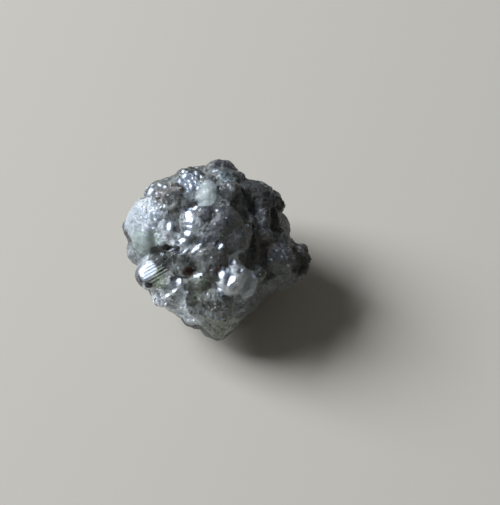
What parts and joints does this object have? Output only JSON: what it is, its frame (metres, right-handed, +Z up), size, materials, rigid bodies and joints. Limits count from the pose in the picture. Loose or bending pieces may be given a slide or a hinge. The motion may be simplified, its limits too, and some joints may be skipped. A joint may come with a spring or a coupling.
{
  "type": "rough diamond",
  "caption": "Small uncut grey diamond crystal with a knobbly, pitted skin, resting on a small flat spot.",
  "frame": {"origin": "middle of the stone's outline, on the surface that it rests on", "axes": "+Z up, +X to the right along the stone's longest side, and the broad, knobbly face looks up and towards -Y"},
  "size_m": [0.0079, 0.007, 0.0064],
  "materials": {
    "grey_diamond": "adamantine, cloudy grey, with frosted and glinting patches"
  },
  "bodies": {
    "root": {"rough_diamond": "grey_diamond"}
  },
  "joints": []
}
